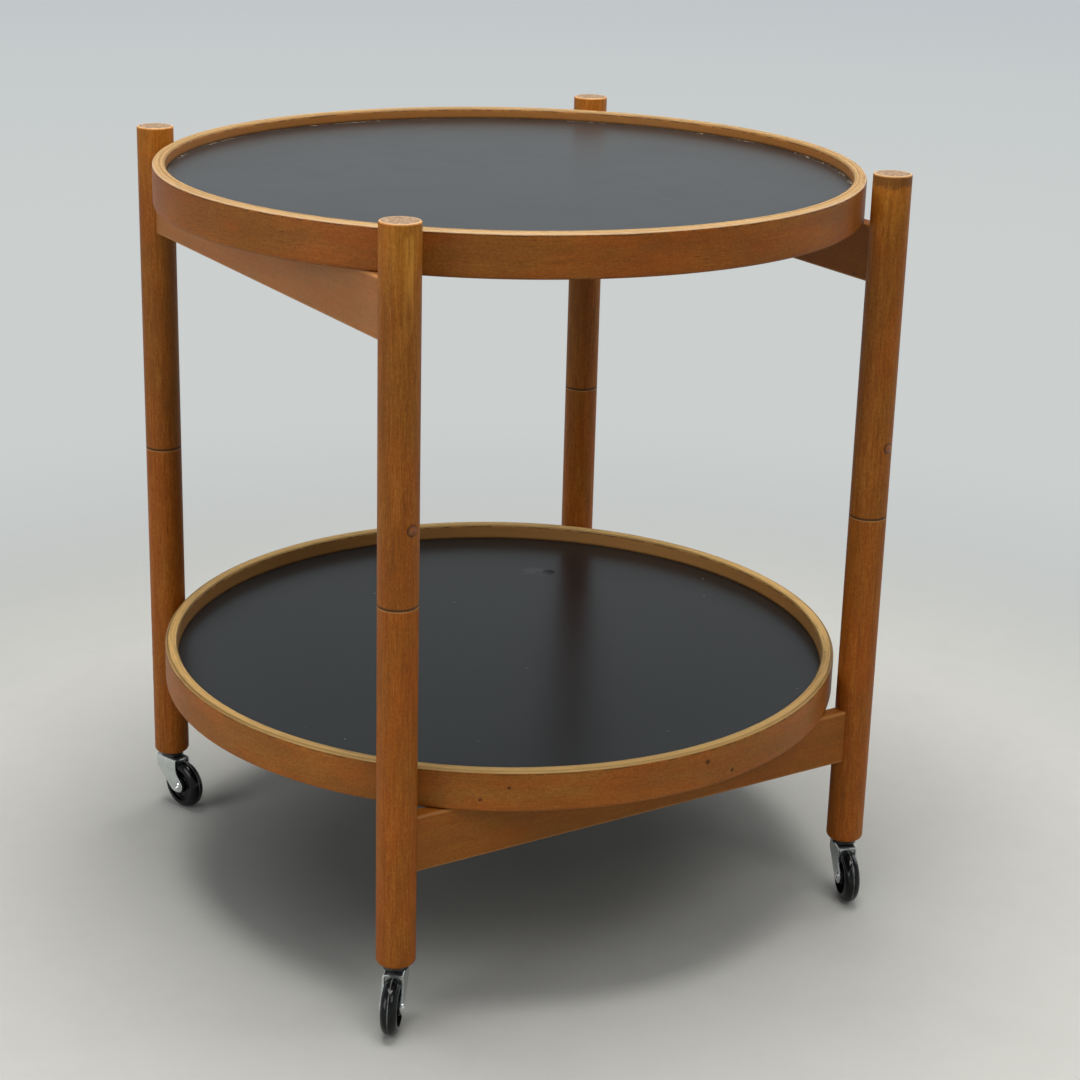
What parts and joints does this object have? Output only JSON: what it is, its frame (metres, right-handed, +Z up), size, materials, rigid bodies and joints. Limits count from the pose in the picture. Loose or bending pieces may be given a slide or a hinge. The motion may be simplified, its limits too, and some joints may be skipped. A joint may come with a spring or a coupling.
{
  "type": "tray table",
  "caption": "Round tray table on casters: lift-off trays with black panels and wooden rims, held between jointed round legs on a folding rail frame.",
  "frame": {"origin": "centre of the table's plan on the floor, at the bottom centre of its box", "axes": "+Z up; the upper rails run along Y at the left (-X) and right (+X), the lower rails run along X at the front (-Y) and back (+Y)"},
  "size_m": [0.6, 0.6, 0.652],
  "materials": {
    "leg_beech": "stained and waxed, satin",
    "rail_beech": "stained and waxed, satin",
    "rim_beech": "stained and waxed, worn paler on the top edge",
    "black_laminate": "satin",
    "panel_core": "raw",
    "dowel_beech": "raw",
    "peg_wood": "waxed, satin",
    "pivot_steel": "turned",
    "zinc_steel": "bright zinc plate",
    "bearing_steel": "bright zinc plate, dulled",
    "black_wheel": "glossy, scuffed"
  },
  "bodies": {
    "front_frame": {"lower_rail_front": "rail_beech", "lower_dowels_front": "dowel_beech", "lower_leg_front_left": "leg_beech", "pivot_pin_front_left": "pivot_steel", "caster_socket_front_left": "bearing_steel", "caster_stem_front_left": "bearing_steel", "lower_leg_front_right": "leg_beech", "pivot_pin_front_right": "pivot_steel", "caster_socket_front_right": "bearing_steel", "caster_stem_front_right": "bearing_steel"},
    "back_frame": {"lower_rail_back": "rail_beech", "lower_dowels_back": "dowel_beech", "lower_leg_back_left": "leg_beech", "pivot_pin_back_left": "pivot_steel", "caster_socket_back_left": "bearing_steel", "caster_stem_back_left": "bearing_steel", "lower_leg_back_right": "leg_beech", "pivot_pin_back_right": "pivot_steel", "caster_socket_back_right": "bearing_steel", "caster_stem_back_right": "bearing_steel"},
    "left_frame": {"upper_rail_left": "rail_beech", "upper_dowels_left": "dowel_beech", "pegs_left": "peg_wood", "upper_leg_front_left": "leg_beech", "upper_leg_back_left": "leg_beech"},
    "right_frame": {"upper_rail_right": "rail_beech", "upper_dowels_right": "dowel_beech", "pegs_right": "peg_wood", "upper_leg_front_right": "leg_beech", "upper_leg_back_right": "leg_beech"},
    "upper_tray": {"upper_rim": "rim_beech", "upper_panel_core": "panel_core", "upper_top_laminate": "black_laminate", "upper_bottom_laminate": "black_laminate"},
    "lower_tray": {"lower_rim": "rim_beech", "lower_panel_core": "panel_core", "lower_top_laminate": "black_laminate", "lower_bottom_laminate": "black_laminate"},
    "caster_front_left": {"caster_fork_front_left": "zinc_steel", "caster_axle_front_left": "zinc_steel", "caster_balls_front_left": "bearing_steel"},
    "wheel_front_left": {"caster_wheel_front_left": "black_wheel"},
    "caster_front_right": {"caster_fork_front_right": "zinc_steel", "caster_axle_front_right": "zinc_steel", "caster_balls_front_right": "bearing_steel"},
    "wheel_front_right": {"caster_wheel_front_right": "black_wheel"},
    "caster_back_left": {"caster_fork_back_left": "zinc_steel", "caster_axle_back_left": "zinc_steel", "caster_balls_back_left": "bearing_steel"},
    "wheel_back_left": {"caster_wheel_back_left": "black_wheel"},
    "caster_back_right": {"caster_fork_back_right": "zinc_steel", "caster_axle_back_right": "zinc_steel", "caster_balls_back_right": "bearing_steel"},
    "wheel_back_right": {"caster_wheel_back_right": "black_wheel"}
  },
  "joints": [
    {"name": "left_fold", "type": "hinge", "parent": "front_frame", "child": "left_frame", "pos_m": [-0.22748, -0.22748, 0.358], "axis": [0, 0, 1], "range_deg": [-0.8, 0.8]},
    {"name": "right_fold", "type": "hinge", "parent": "front_frame", "child": "right_frame", "pos_m": [0.22748, -0.22748, 0.358], "axis": [0, 0, 1], "range_deg": [-0.8, 0.8]},
    {"name": "back_fold", "type": "hinge", "parent": "right_frame", "child": "back_frame", "pos_m": [0.22748, 0.22748, 0.358], "axis": [0, 0, 1], "range_deg": [-0.8, 0.8]},
    {"name": "upper_tray_lift", "type": "slide", "parent": "left_frame", "child": "upper_tray", "axis": [0, 0, 1], "range_m": [0, 0.15]},
    {"name": "lower_tray_lift", "type": "slide", "parent": "front_frame", "child": "lower_tray", "axis": [0, 0, 1], "range_m": [0, 0.34]},
    {"name": "caster_swivel_front_left", "type": "hinge", "parent": "front_frame", "child": "caster_front_left", "pos_m": [-0.22748, -0.22748, 0.051], "axis": [0, 0, 1], "continuous": true},
    {"name": "wheel_spin_front_left", "type": "hinge", "parent": "caster_front_left", "child": "wheel_front_left", "pos_m": [-0.23794, -0.24087, 0.023], "axis": [0.788, -0.6157, 0], "continuous": true},
    {"name": "caster_swivel_front_right", "type": "hinge", "parent": "front_frame", "child": "caster_front_right", "pos_m": [0.22748, -0.22748, 0.051], "axis": [0, 0, 1], "continuous": true},
    {"name": "wheel_spin_front_right", "type": "hinge", "parent": "caster_front_right", "child": "wheel_front_right", "pos_m": [0.22083, -0.24312, 0.023], "axis": [0.9205, -0.3907, 0], "continuous": true},
    {"name": "caster_swivel_back_left", "type": "hinge", "parent": "back_frame", "child": "caster_back_left", "pos_m": [-0.22748, 0.22748, 0.051], "axis": [0, 0, 1], "continuous": true},
    {"name": "wheel_spin_back_left", "type": "hinge", "parent": "caster_back_left", "child": "wheel_back_left", "pos_m": [-0.22251, 0.21122, 0.023], "axis": [0.9563, 0.2924, 0], "continuous": true},
    {"name": "caster_swivel_back_right", "type": "hinge", "parent": "back_frame", "child": "caster_back_right", "pos_m": [0.22748, 0.22748, 0.051], "axis": [0, 0, 1], "continuous": true},
    {"name": "wheel_spin_back_right", "type": "hinge", "parent": "caster_back_right", "child": "wheel_back_right", "pos_m": [0.23598, 0.21275, 0.023], "axis": [0.866, 0.5, 0], "continuous": true}
  ],
  "couplings": [
    {"joint": "right_fold", "follows": "left_fold", "ratio": 1},
    {"joint": "back_fold", "follows": "left_fold", "ratio": -1}
  ]
}
